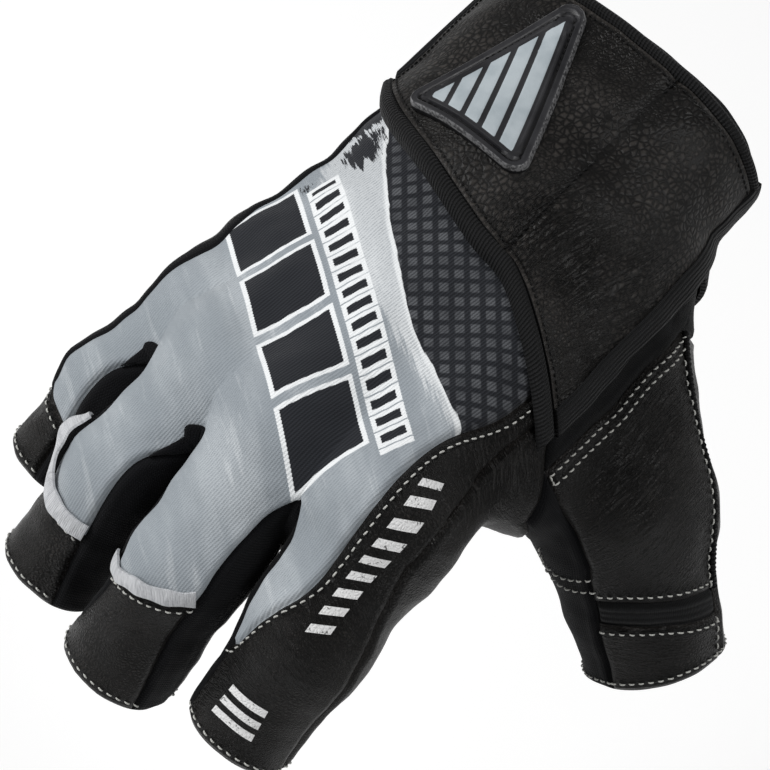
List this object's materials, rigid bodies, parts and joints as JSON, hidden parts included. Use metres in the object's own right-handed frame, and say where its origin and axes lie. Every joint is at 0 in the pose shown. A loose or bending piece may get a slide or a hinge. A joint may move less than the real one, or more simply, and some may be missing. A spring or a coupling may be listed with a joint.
{
  "type": "fitness glove",
  "caption": "Open-finger fitness glove for a right hand: printed cloth back, leather palm and fingertips, wide leather wrist strap with a triangular rubber badge.",
  "frame": {"origin": "centre of the wrist opening, in the plane of the cuff's rear edge", "axes": "+Z out of the back of the hand, -Y the way the fingers point, +X towards the thumb"},
  "size_m": [0.1544, 0.1865, 0.1009],
  "materials": {
    "printed_twill": "matte",
    "leather": "matte",
    "strap_leather": "satin",
    "stretch_cloth": "matte",
    "ribbed_elastic": "matte",
    "smooth_binding": "satin",
    "neoprene": "matte",
    "badge_rubber": "satin",
    "pull_tape": "matte"
  },
  "bodies": {
    "root": {"back_panel": "printed_twill", "pinky_cap": "leather", "ring_cap": "leather", "middle_cap": "leather", "index_side_leather": "leather", "palm_leather": "leather", "fourchette_ring_pinky": "stretch_cloth", "fourchette_middle_ring": "stretch_cloth", "fourchette_index_middle": "stretch_cloth", "thumb_leather": "leather", "thumb_elastic_band": "ribbed_elastic", "thumb_tip_leather": "leather", "thumb_palm_leather": "leather", "thumb_side_cloth": "stretch_cloth", "cuff": "neoprene", "strap_leather": "strap_leather", "strap_rear_binding": "ribbed_elastic", "strap_front_binding": "ribbed_elastic", "strap_end_binding": "smooth_binding", "strap_elastic": "ribbed_elastic", "strap_badge": "badge_rubber", "ring_pull_tape": "pull_tape", "middle_pull_tape": "pull_tape"}
  },
  "joints": []
}
